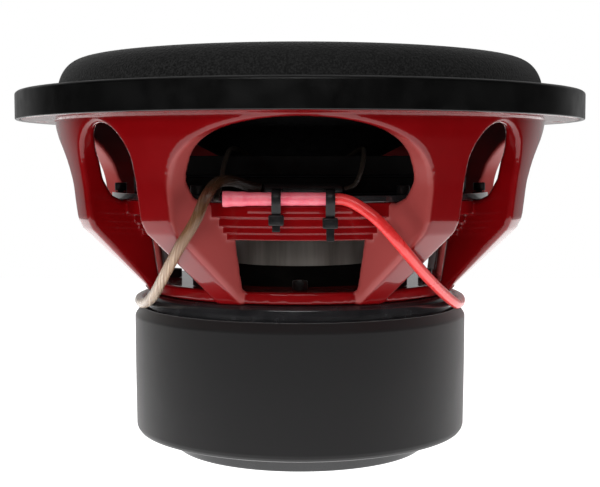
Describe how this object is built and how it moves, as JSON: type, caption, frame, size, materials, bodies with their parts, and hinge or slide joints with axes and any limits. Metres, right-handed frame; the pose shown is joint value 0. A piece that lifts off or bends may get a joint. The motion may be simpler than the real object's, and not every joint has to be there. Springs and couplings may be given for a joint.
{
  "type": "car subwoofer driver",
  "caption": "Car subwoofer driver: cast basket with paired legs, triple-ring magnet motor in a rubber boot, long-throw cone assembly and direct leads.",
  "frame": {"origin": "centre of the motor back face, on the surface that the driver stands on", "axes": "+Z along the cone travel towards the listener; -Y towards the side with the leads"},
  "size_m": [0.392, 0.392, 0.2697],
  "materials": {
    "red_paint": "gloss",
    "trim_rubber": "satin",
    "surround_foam": "matte",
    "cone_pulp": "matte",
    "cap_shell": "gloss",
    "former_alloy": "brushed",
    "coil_wire": "enamelled",
    "collar_plastic": "matte",
    "spider_weave": "woven",
    "ring_metal": "gloss",
    "black_bolt": "black oxide",
    "black_steel": "gloss",
    "ferrite": "matte",
    "boot_rubber": "matte",
    "screen_steel": "satin",
    "pink_sleeve": "satin",
    "tie_nylon": "satin",
    "red_jacket": "satin",
    "clear_jacket": "clear over copper strands",
    "tinned_copper": "tinned",
    "tinsel_braid": "braided"
  },
  "bodies": {
    "frame": {"basket_base_ring": "red_paint", "basket_bolt_1": "black_bolt", "basket_bolt_2": "black_bolt", "basket_bolt_3": "black_bolt", "basket_bolt_4": "black_bolt", "basket_bolt_5": "black_bolt", "basket_bolt_6": "black_bolt", "basket_bolt_7": "black_bolt", "basket_bolt_8": "black_bolt", "basket_flange": "red_paint", "basket_leg_1": "red_paint", "basket_leg_2": "red_paint", "basket_leg_3": "red_paint", "basket_leg_4": "red_paint", "basket_leg_5": "red_paint", "basket_leg_6": "red_paint", "basket_leg_7": "red_paint", "basket_leg_8": "red_paint", "basket_shelf": "red_paint", "cable_tie_left": "tie_nylon", "cable_tie_right": "tie_nylon", "clear_lead": "clear_jacket", "clear_lead_tip": "tinned_copper", "heat_shrink_sleeve": "pink_sleeve", "lower_spider": "spider_weave", "magnet_boot": "boot_rubber", "magnet_lower": "ferrite", "magnet_middle": "ferrite", "magnet_upper": "ferrite", "rear_sleeve": "collar_plastic", "red_lead": "red_jacket", "red_lead_tip": "tinned_copper", "ring_bolt_1": "black_bolt", "ring_bolt_2": "black_bolt", "ring_bolt_3": "black_bolt", "ring_bolt_4": "black_bolt", "ring_bolt_5": "black_bolt", "ring_bolt_6": "black_bolt", "shorting_ring": "former_alloy", "spider_clamp_ring": "collar_plastic", "spider_landing_ring": "ring_metal", "spider_spacer": "collar_plastic", "surround": "surround_foam", "t_yoke": "black_steel", "tinsel_lead_left": "tinsel_braid", "tinsel_lead_right": "tinsel_braid", "top_plate": "black_steel", "trim_ring": "trim_rubber", "upper_spider": "spider_weave", "vent_screen": "screen_steel"},
    "cone_assembly": {"cone": "cone_pulp", "dust_cap": "cap_shell", "voice_coil_former": "former_alloy", "voice_coil_winding": "coil_wire", "neck_collar": "collar_plastic"}
  },
  "joints": [
    {"name": "cone_travel", "type": "slide", "parent": "frame", "child": "cone_assembly", "axis": [0, 0, 1], "range_m": [-0.02, 0.02], "stiffness_N_per_m": 16000, "deforming": ["surround", "lower_spider", "upper_spider", "tinsel_lead_left", "tinsel_lead_right"]}
  ]
}
